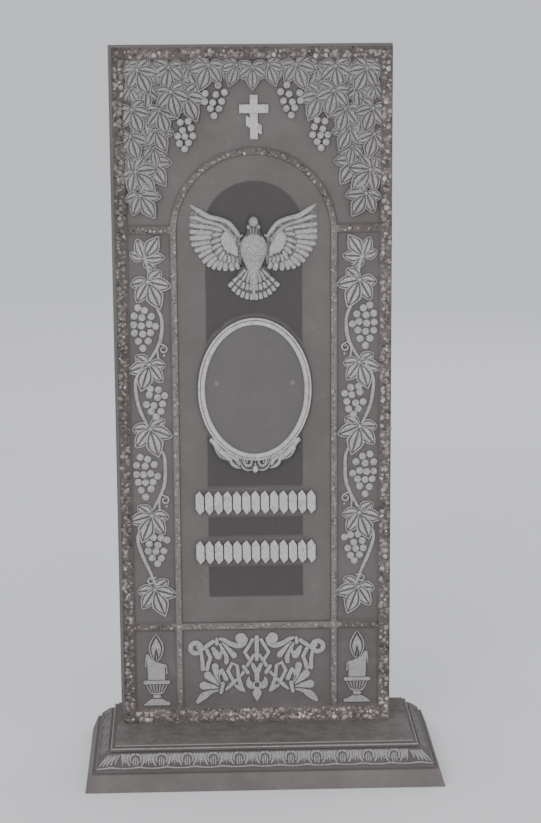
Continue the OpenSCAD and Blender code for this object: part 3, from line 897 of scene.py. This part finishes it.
def dove_wing():
    """The left wing: its ground, leading edge, main feathers, coverts, smooth shoulder and its down."""
    parts = [rib(LEADING_EDGE, NICHE_BED, NICHE + 10.6), rib(SECOND_EDGE, NICHE_BED, NICHE + 9.6)]
    parts.append(feather_ground(WING, 4.2))
    for rows, root, tip, sag, top, step in (
            (FEATHERS, 0.72, 0.8, 0, 7.6, 0.5), (COVERTS, 0.7, 0.72, 0.8, 9, 0.4)):
        for i, (x0, y0, x1, y1, w) in enumerate(rows):
            bow = 1.2 if rows is FEATHERS and i > 3 else 0
            w *= FULLER
            knots = [(x0, y0, w * root), ((x0 + x1) / 2 - bow, (y0 + y1) / 2 + sag, w), (x1, y1, w * tip)]
            parts.append(rib(knots, NICHE_BED, NICHE + top - step * (i % 2)))
    shoulder = plate(SHOULDER, NICHE_BED, NICHE + 8.6, [(1.2, 1.2), (1.6, 0.5)])
    parts.append(paint(shoulder, NICHE + 7, NICHE + 9))
    for x, y, turn in DOWN:
        dx, dy = sin(radians(turn)), cos(radians(turn))
        knots = [(x + 5 * dx, y + 5 * dy, 4), (x, y, 7), (x - 4 * dx, y - 4 * dy, 6)]
        parts.append(rib(knots, NICHE_BED, NICHE + 10.8))
    return join("wing", parts)


def dove_body():
    """Body, neck, head and cheeks. The body's back is raised towards the tail."""
    low, tail_root, tail_end = NICHE_BED, 868, 801
    body = rib(BODY, low, NICHE + 12.6, 4, 4)
    for v in body.data.vertices:
        if v.co.y < tail_root and v.co.z > low:
            v.co.z = low + (v.co.z - low) * (1 + 1.2 * (tail_root - v.co.y) / (tail_root - tail_end))
    parts = [paint(body, low + 4, low + 8.6), unpainted(plate(NECK, low, NICHE + 7.6)),
             dome(0, 941, 9, 9.4, low, NICHE + 14.4, 20)]
    parts += [dome(x, 931.6, 3.8, 4.2, low, NICHE + 12.8) for x in (-8.8, 8.8)]
    return join("dove_body", parts)


def dove():
    finished(both_sides("dove_wings", dove_wing()), "feather", angle=60)
    hub = Vector((-3, 868))
    half = [feather_ground(TAIL_GROUND, 3.6)]
    for tips, start, w, top in TAIL:
        for i, tip in enumerate(Vector(place) for place in tips):
            a, b = hub.lerp(tip, start), hub.lerp(tip, 0.95)
            knots = [(a.x, a.y, w * 0.7), (b.x, b.y, w), (tip.x, tip.y, w * 0.86)]
            half.append(rib(knots, NICHE_BED, NICHE + top - 0.4 * (i % 2)))
    finished(both_sides("dove_tail", join("tail", half)), "feather", angle=60)
    finished(dove_body(), "dove", angle=70)
    plumes = [rib([(0, 932, 3.6), (0, 924, 4.4), (0, 914, 1.2)], NICHE_BED, NICHE + 14.8)]
    plumes += [rib([(s * 4.8, 930, 3), (s * 4.8, 924, 3.8), (s * 3.6, 917, 1.4)], NICHE_BED, NICHE + 14)
               for s in (-1, 1)]
    finished(join("dove_plumes", plumes), "feather", angle=60)


# ---- portrait oval ----

def portrait():
    """The oval field with its double band; the field is left bare."""
    ring = plate(oval(OVAL_RX + 1.5, OVAL_RZ + 1.5, 0, OVAL_Z, 96), NICHE_BED, -4, [
        (1.2, 0), (0.6, 3.6), (3.2, 0.3), (0.6, -1.6), (0.6, 0), (0.6, 1.8), (6.2, 0), (0.9, -1.2),
        (1, -2.9)])
    paint(ring, -2.2, -0.9)
    ring.name = "oval_frame"
    for name in ("bright", "field"):
        ring.data.materials.append(FINISH[name])
    for face in ring.data.polygons:
        face.material_index = 1 if len(face.vertices) > 4 and face.center.z > NICHE else 0
    finished(ring)


def acanthus():
    """The leaves and scrolls under the oval; the left half is made and copied."""
    low = NICHE_BED
    half = [rib([(x, y, 0.84 * w) for x, y, w in knots], low, top) for knots, top in (
        ([(-83, 543, 7), (-77, 540, 12), (-71, 530, 14), (-62, 519, 14), (-52, 511, 13),
          (-43, 504, 9)], 2.2),
        ([(-84, 540, 2.5), (-76, 533, 4), (-71, 520, 4.6), (-63, 510, 4.6), (-49, 504, 3)], 2.6),
        ([(-54, 517, 6), (-42, 511, 10), (-34, 504, 11), (-28, 495, 7)], 2.9),
        ([(-47, 508, 5), (-43, 498, 9), (-35, 491.5, 8), (-26, 488, 3)], 2.6),
        ([(-37, 512, 3), (-35, 501, 3.4), (-29, 493, 2.4)], 3.4),
        ([(-28, 503, 4), (-24, 492, 5), (-16, 485.5, 5), (-6, 485, 3)], 3),
        ([(-25, 507, 4), (-21, 497, 4), (-14, 492, 4), (-6, 493, 2.4)], 3.4))]
    half += [rib(knots, -5, 3) for knots in (
        [(-70, 536, 2.6), (-60, 523, 4), (-46, 514, 2)],
        [(-55, 524, 2.6), (-46, 514.6, 3.6), (-34, 508.6, 2)],
        [(-42, 516, 2.4), (-33, 508.6, 3.4), (-24, 505, 2)], [(-30, 511, 2), (-22, 508, 3), (-14, 511, 2)])]
    half += [curl(-12.6, 500.6, 6.8, 160, 4.6, low, 3.8), dome(-3.4, 507, 3, 2.4, low, 2.4)]
    bed = [(-80, 543), (-72, 524), (-60, 508), (-47, 497), (-32, 488), (-10, 483), (0, 482), (0, 505),
           (-40, 520)]
    half.append(unpainted(plate(bed, low, -5.4)))
    drop = [dome(0, 487, 5.8, 7.4, low, 4.4), rib([(0, 500, 2), (0, 494, 5), (0, 488, 8)], low, 3.8)]
    sides = both_sides("sides", join("half", half))
    finished(join("oval_acanthus", [sides] + drop), "bright", angle=60)


# ---- inscription ----

def inscription():
    """Two rows of plain tapered strokes on shallow pads, in place of words."""
    pitch = 2 * ROW_HALF / STROKES
    w = 0.88 * pitch
    stroke = raised([(0, STROKE_H / 2), (w / 2, STROKE_H / 4), (w / 2, -STROKE_H / 3), (0, -STROKE_H / 2),
                     (-w / 2, -STROKE_H / 4), (-w / 2, STROKE_H / 3)], -6, 0)
    x, y = ROW_HALF + 3, STROKE_H / 2 + 3
    pad = plate(box_outline(-x, -y, x, y), NICHE_BED, NICHE + 0.4, [(0.8, 0.8)])
    rows = [copy(stroke, placed((i + 0.5) * pitch - ROW_HALF, z)) for z in ROW_Z for i in range(STROKES)]
    finished(join("inscription_strokes", rows), "bright")
    finished(join("inscription_pads", [copy(pad, placed(0, z)) for z in ROW_Z]), "niche")
    discard(stroke, pad)


# ---- foot panels ----

def strapwork():
    """Interlaced scrolls and petals; the left half is made and copied."""
    low, top = PANEL_BED, GROUND + 4.6
    over, under = top + 0.5, top - 0.7
    half = [band(knots, low, high, *each) for knots, high, *each in (
        ([(-112.4, 148.6, 4), (-108.4, 145, 6), (-104.6, 135, 6.4), (-102.4, 121, 7),
          (-101.8, 105, 8.4)], over),
        ([(-94, 141, 7), (-87, 127, 7.4), (-91, 116, 7.4), (-94, 104, 8)], top, 1),
        ([(-102, 143, 6.4), (-92, 150.5, 7.4), (-82, 158, 7)], top),
        ([(-75, 163, 5.4), (-75, 154, 7)], over),
        ([(-69, 163, 5.4), (-61, 160.5, 7), (-49, 153, 9), (-35, 149, 10), (-24, 153, 9),
          (-20.6, 162, 8)], top),
        ([(-65, 155.5, 2.4), (-55, 144.6, 7), (-43, 130, 11)], under),
        ([(-68.8, 154, 2), (-62, 140, 5), (-57, 126, 8.6), (-57.6, 117, 8)], top),
        ([(-82, 144, 7), (-77.6, 136, 11), (-72.6, 129.6, 14)], under),
        ([(-71, 127.6, 8), (-66.4, 136, 5.6), (-66, 144, 4.4), (-70, 152, 2.4)], under + 0.3),
        ([(-70, 77, 2.4), (-76, 93, 9), (-78.6, 109, 12.6)], top),
        ([(-72, 72.6, 2.4), (-83, 83, 10.6), (-92.4, 92, 15)], under),
        ([(-72.4, 67.4, 2.4), (-86, 70, 9.4), (-100.6, 72, 15.4)], top),
        ([(-73.4, 62, 3), (-87, 59, 7.4), (-101, 51, 14), (-112, 40.4, 7)], under),
        ([(-69, 76, 2.4), (-72, 88, 4.6), (-70.4, 97, 6), (-66, 101, 8)], top),
        ([(-66, 100.6, 8), (-62, 93, 7.6), (-58.4, 84.6, 9)], top - 0.2),
        ([(-64, 75.6, 7), (-67.6, 59, 7)], over),
        ([(-58.6, 63.6, 4), (-50, 71.5, 7), (-39, 82, 6.4)], top),
        ([(-45.8, 82, 6), (-54.6, 99.6, 7), (-46.6, 115, 6.6), (-37, 109.6, 6.4), (-35, 89, 6.6),
          (-30.6, 71, 8), (-24, 59.6, 3.4)], under, 1),
        ([(-40, 71, 5.4), (-32, 64.6, 6.4), (-26, 60, 3)], top - 0.2),
        ([(-8, 160, 6.4), (-22.6, 135.6, 6.8), (-14.8, 123.4, 6.4)], top, 1),
        ([(-5.6, 130, 5), (-11.6, 120, 6.4), (-18, 109.6, 6)], under),
        ([(-25.2, 108.4, 6.4), (-17.4, 96.4, 7)], top),
        ([(-31.4, 89.6, 5), (-25.6, 96, 6)], under),
        ([(-8, 112, 6.6), (-2, 99, 9)], top),
        ([(-15, 87, 2.4), (-16, 80, 8), (-13.6, 73, 13), (-9.6, 70, 12)], top - 0.2))]
    scroll = plate(oval(14.5, 14.5, -114.6, 145.8, 32), low, top - 1,
                   [(EDGE, EDGE), (7.8, 0), (EDGE, -2.4), (1, 0)])
    volute = plate(oval(10.6, 10.6, -29.6, 163.4, 28), low, top - 0.2, [(EDGE, EDGE)])
    half += [paint(scroll, top - 2.2, top - 0.6), paint(volute, top - 1.6, top + 0.2)]
    left = both_sides("left", join("half", half))
    middle = [band(knots, low, high) for knots, high in (
        ([(0, 122, 7), (0, 144, 8), (0, 165, 8)], top),
        ([(0, 100, 8.6), (0, 92, 9), (0, 83, 8.6)], top + 0.2),
        ([(0, 61, 13), (0, 55, 17), (0, 49, 12), (0, 41, 2)], top + 0.3))]
    middle.append(hoop(0, 72, 9.4, 5.4, GROUND, top + 0.4))
    finished(join("strapwork", [left] + middle), "ornament")


def candle():
    """The candles: foot, fluted bowl, dripping drum and nested flame, made on the middle line and moved."""
    low, top = PANEL_BED, GROUND + 5
    bowl = [(-19.4, 77, 2.4), (-16.4, 69, 3), (-12.4, 61, 3.2), (-8, 58.4, 3.4)]
    flame = [(0, 118, 1.6), (6.4, 126, 3), (10.6, 135, 3.6), (12.6, 146, 3.9), (10.6, 157, 3.6),
             (5, 167, 3), (0, 175, 1.6)]
    parts = [raised([(-24.6, 35), (24.6, 35), (25, 40.6), (18, 42.4), (9, 47.6), (-9, 47.6), (-17, 43),
                     (-24.6, 36.6)], low, top - 0.6),
             band([(-4.4, 52.8, 6.6), (4.4, 52.8, 6.6)], low, top, fuller=0),
             band([(-21.8, 80.6, 6.8), (21.8, 80.6, 6.8)], low, top + 1, fuller=0),
             unpainted(plate([(-10, 58), (10, 58), (13, 61), (20, 77), (-20, 77), (-13, 61)],
                             low, top - 2.6)),
             raised([(-15.8, 85), (15.8, 85), (16, 113), (10, 117), (3, 119), (-3, 121), (-9, 126),
                     (-13, 133), (-17, 136), (-20, 133), (-18, 122), (-17, 112)], low, top),
             raised([(0, 167), (-4, 160), (-8, 152), (-9.2, 145), (-8, 137), (-5, 129), (-2.6, 139),
                     (0, 145), (2.6, 139), (5, 129), (8, 137), (9.2, 145), (8, 152), (4, 160)],
                    low, top - 0.7)]
    parts += [rib(knots, foot, high) for knots, foot, high in (
        (bowl + [(0, 58, 3.4)] + [(-x, y, w) for x, y, w in bowl[::-1]], low, top + 0.2),
        ([(-17, 134, 4), (-19, 125, 4.4), (-20, 116, 3), (-20, 112, 4)], GROUND, top + 0.8),
        ([(12, 115, 3), (17.6, 112, 4), (18.6, 104, 3), (19, 98, 4.6)], GROUND, top + 0.8),
        (flame, low, top + 0.6), ([(-x, y, w) for x, y, w in flame], low, top + 0.6),
        ([(-5, 127, 2), (-3.4, 137, 2.6), (0, 147, 2.4), (3.4, 137, 2.6), (5, 125, 2)], low, top + 0.2),
        ([(1.4, 119, 2.4), (0.6, 126, 3), (-0.6, 135, 2)], low, top + 0.4))]
    parts += [rib([(3.9 * i, 59.5, 2.2), (5.2 * i, 68, 3.4), (6.5 * i, 76, 3.9)], low, top + 0.2)
              for i in range(-2, 3)]
    one = join("candle", parts)
    one.data.transform(Matrix.Translation((-188.7, 0, 0)))
    finished(both_sides("candles", one), "candle")


# ---- plinth ----

PLINTH_H = (plinth_high.z - plinth_low.z) / MM
PLINTH_W = (plinth_high.x - plinth_low.x) / MM
PLINTH_D = (plinth_high.y - plinth_low.y) / MM
PLINTH_FOOT = Vector(((plinth_low.x + plinth_high.x) / 2, (plinth_low.y + plinth_high.y) / 2, plinth_low.z))
# Moulding outline: out from the flat top, down from it, and how much pale paint its edge holds; along the
# top edge and the fillet that pale paint is also a painted highlight.
MOULDING = [(0, 0, 1), (0, 2.3, 0.9), (0, 3, 0), (7.4, 4.8, 0.75), (8, 5.4, 0.95), (8, 7, 0.3), (8, 10, 0),
            (6, 12, 0), (12, 14, 0), (32, 31, 0), (33.6, 31.6, 0.3), (34.4, 33, 0.4), (34, 35, 0),
            (34, 36, 0), (34.3, 37.3, 0), (35.1, 38.5, 0), (36.3, 39.5, 0), (38, 40.3, 0), (40, 40.8, 0),
            (42, 41, 0), (42, 42, 0.25), (44, 45.4, 0.15), (SPREAD, 72, 0)]
SLOPE_TOP, SLOPE_FOOT = (12, 14), (32, 31)  # the moulding's carved slope: out and down
CORNER_GAP, FRONT_LEAVES = 36, 11
CARVED_BED, CARVED_TOP = -2, 2.6  # carving, from under the slope to its crests


def plinth_block():
    """One block of mitred mouldings, drawn up step by step from its footprint."""
    o = fresh(bpy.ops.mesh.primitive_plane_add, size=1, location=(0, 0, 0))
    o.name = "plinth_block"
    o.data.transform(Matrix.Diagonal((PLINTH_W, PLINTH_D, 1, 1)))
    wide, deep, at = PLINTH_W, PLINTH_D, 0
    with editing(o):
        for out, down, _ in MOULDING[-2::-1]:
            w, d = PLINTH_W - 2 * (SPREAD - out), PLINTH_D - 2 * (SPREAD - out)
            bpy.ops.mesh.extrude_region_move(TRANSFORM_OT_translate={"value": (0, 0, PLINTH_H - down - at)})
            at = PLINTH_H - down
            bpy.ops.transform.resize(value=(w / wide, d / deep, 1), center_override=(0, 0, at))
            wide, deep = w, d
    layer = o.data.attributes.new("paint", "FLOAT", "POINT")
    for v, pale_edge in zip(o.data.vertices, layer.data):
        out, down = abs(v.co.x) - PLINTH_W / 2 + SPREAD, PLINTH_H - v.co.z
        pale_edge.value = min(MOULDING, key=lambda m: abs(down - m[1]) + abs(out - m[0]))[2]
    place = Matrix.Translation(PLINTH_FOOT) @ Matrix.Scale(MM, 4)
    finished(o, "plinth", place, angle=25)
    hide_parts("plinth")


def slope_place(turn, out, along, at=0.5):
    """Matrix from the bench to the carved slope of one side, at that share of the way down it."""
    dx, dy = SLOPE_FOOT[0] - SLOPE_TOP[0], SLOPE_FOOT[1] - SLOPE_TOP[1]
    x = out + SLOPE_TOP[0] + dx * at
    y = PLINTH_H - SLOPE_TOP[1] - dy * at
    return (Matrix.Translation(PLINTH_FOOT) @ Matrix.Scale(MM, 4)
            @ Matrix.Rotation(radians(turn), 4, "Z") @ Matrix.Translation((along, -x, y))
            @ Matrix.Rotation(atan2(dy, dx), 4, "X"))


def carved_leaf():
    """One hollow-sided leaf of the moulding: an arch over three fingers, between drooping side lobes."""
    half = join("half", [rib(knots, CARVED_BED, CARVED_TOP + more) for knots, more in (
        ([(-0.6, 12.4, 4.6), (-6, 11.4, 5.6), (-9.6, 6, 5.6), (-9.4, -1, 4.2), (-7.6, -5, 2)], 0.4),
        ([(-2.8, 7, 2), (-4, 1, 3.8), (-4, -5, 4), (-3, -11, 2)], 0),
        ([(-11, 12.6, 5), (-15, 8, 7.4), (-15.2, 0, 6.4), (-12.4, -7, 4.6), (-9.6, -11.6, 1.6)], 0.2),
        ([(-17, 12.6, 5), (-20.4, 8, 6), (-20.2, 1, 4.6), (-18, -6, 1.8)], -0.2))])
    finger = rib([(0, 8, 2.6), (0, 2, 4), (0, -4, 3.6), (0, -10.6, 1.6)], CARVED_BED, CARVED_TOP + 0.2)
    return join("carved_leaf", [half, copy(half, MIRROR), finger])


def carved_dart():
    return rib([(0, 12.6, 7.4), (0, 5, 6), (0, -3, 3.6), (0, -11, 1.2)], CARVED_BED, CARVED_TOP)


def corner_leaf():
    """Half of the leaf that covers a mitre: fingers that fan from the corner along one slope."""
    return join("corner_leaf", [rib(knots, CARVED_BED, CARVED_TOP - 0.4) for knots in (
        [(8, -12, 2), (0.6, -3, 4), (-5, 4, 4.6), (-11, 11.4, 3)],
        [(1.4, -12, 2), (-5.4, -3, 5), (-10.4, 4, 5), (-16, 11.4, 3.4)],
        [(-6.4, -11, 2), (-11, -3, 5), (-15.4, 4, 5), (-21, 11.4, 3.4)],
        [(-14.4, -9.6, 2), (-17, -2, 4.6), (-20.4, 5, 4.6), (-26, 11.6, 3.4)],
        [(-22.6, -7, 2), (-24, 0, 4), (-26.4, 6, 4), (-30.6, 11.6, 3)])])


def plinth_carving():
    flat_w, flat_d = PLINTH_W - 2 * SPREAD, PLINTH_D - 2 * SPREAD
    mid = (SLOPE_TOP[0] + SLOPE_FOOT[0]) / 2
    pitch = (flat_w + 2 * mid - 2 * CORNER_GAP) / FRONT_LEAVES
    side_leaves = int((flat_d + 2 * mid - 2 * CORNER_GAP) / pitch)
    one, dart, corner = carved_leaf(), carved_dart(), corner_leaf()
    wave = rib([(-pitch / 2, -1.2, 2.6), (-pitch / 4, -0.6, 3), (0, 0.9, 4), (pitch / 4, -0.6, 3),
                (pitch / 2, -1.2, 2.6)], -1.5, 1.3)
    # the side carving's darker, thinner paint is painted shade
    for name, finish, runs in (
            ("front", "plinth_carving", [(0, flat_d / 2, flat_w / 2 + mid, FRONT_LEAVES)]),
            ("sides", "plinth_side",
             [(turn, flat_w / 2, flat_d / 2 + mid, side_leaves) for turn in (90, -90)])):
        carved = []
        for turn, out, half_run, n in runs:
            carved += [copy(one, slope_place(turn, out, (i - (n - 1) / 2) * pitch)) for i in range(n)]
            carved += [copy(dart, slope_place(turn, out, (i - n / 2) * pitch)) for i in range(n + 1)]
            carved += [copy(corner, slope_place(turn, out, end * half_run) @ flip)
                       for end, flip in ((1, Matrix.Identity(4)), (-1, MIRROR)) if turn * end >= 0]
            lip_pitch = 2 * (half_run + 11) / (n + 1)
            carved += [copy(wave, slope_place(turn, out, (i - n / 2) * lip_pitch, 1.06)
                          @ Matrix.Diagonal((lip_pitch / pitch, 1, 1, 1))) for i in range(n + 1)]
        finished(join(f"plinth_carving_{name}", carved), finish, Matrix.Identity(4), 60)
    discard(one, dart, corner, wave)


# ---- floor, light and camera ----

def studio():
    f = Finish("floor_paper", 0.9, 0.1)
    soft = f.noise(0.8, 2)
    floor_colour = f.mix(f.ramp(soft, 0.3, 0.7), (0.89, 0.89, 0.89, 1), (0.91, 0.91, 0.91, 1))
    floor = fresh(bpy.ops.mesh.primitive_plane_add, size=260, location=(0, 0, cad_box[0][2]))
    floor.name = "floor"
    floor.data.materials.append(f.done(floor_colour, soft, None, 0.05))

    world = bpy.data.worlds.new("studio")
    world.use_nodes = True
    ground = world.node_tree.nodes["Background"]
    ground.inputs["Color"].default_value = (0.93, 0.95, 1, 1)
    ground.inputs["Strength"].default_value = 0.85
    bpy.context.scene.world = world
    for name, place, size, power, aim in (
            ("key", (-1.7, -4.0, 2.3), 1.4, 57, 0.6), ("fill", (2.4, -3.6, 2.2), 3.0, 7, 0.65),
            ("low", (0.5, -3.3, 0.3), 2.0, 22, 0.0), ("back", (1.6, 3.6, 2.6), 3.0, 22, 0.65)):
        light = bpy.data.lights.new(name, "AREA")
        light.size, light.energy = size, power
        o = added(name, light)
        o.location = place
        o.rotation_euler = (Vector((0, 0, aim)) - Vector(place)).to_track_quat("-Z", "Y").to_euler()


def camera():
    """A camera in front, a little to the left, looking slightly down at the slab."""
    pitch, yaw, roll = (radians(a) for a in (12.063, 2.0705, -0.3555))
    ahead = Vector((sin(yaw) * cos(pitch), cos(yaw) * cos(pitch), -sin(pitch)))
    level = Vector((cos(yaw), -sin(yaw), 0))
    above = level.cross(ahead)
    right = level * cos(roll) + above * sin(roll)
    up = above * cos(roll) - level * sin(roll)
    data = bpy.data.cameras.new("camera")
    data.lens = 93.61
    data.sensor_width = 36
    data.clip_end = 400
    o = added("camera", data)
    turn = Matrix((right, up, -ahead)).transposed().to_4x4()
    o.matrix_world = Matrix.Translation((-0.1202, -3.8406, 1.4916)) @ turn
    bpy.context.scene.camera = o


FINISH = {"panel": panel_concrete(), "field": field_concrete(), "niche": niche_concrete(),
          "border": border_stone(), "chips": stone_chips(), "plinth": plinth_concrete()}
# Paints: the two tones, how well they cover, and how much the stipple shows. The plinth's side carving gets
# darker, thinner paint than its front as painted shade.
for paint_name, *look in (
        ("canopy", "8f8c8b", "b3b1b0", 0.96, 0.6), ("vine", "a09d9c", "c6c4c3", 1, 0.5),
        ("bright", "b5b3b2", "cfcdcc", 1, 0.22), ("ornament", "a5a2a1", "bfbcbb", 1, 0.42),
        ("candle", "9e9b9a", "b6b3b2", 1, 0.45), ("feather", "a7a5a4", "c6c4c3", 0.97, 0.4),
        ("dove", "a3a1a0", "c0bebd", 0.96, 0.7), ("plinth_side", "7d7977", "918e8c", 0.6, 0.45),
        ("plinth_carving", "999593", "bbb8b6", 0.95, 0.5)):
    FINISH[paint_name] = painted_relief(paint_name, *look)

slab()
exposed_stone()
vines()
cross()
dove()
portrait()
acanthus()
inscription()
strapwork()
candle()
plinth_block()
plinth_carving()
studio()
camera()
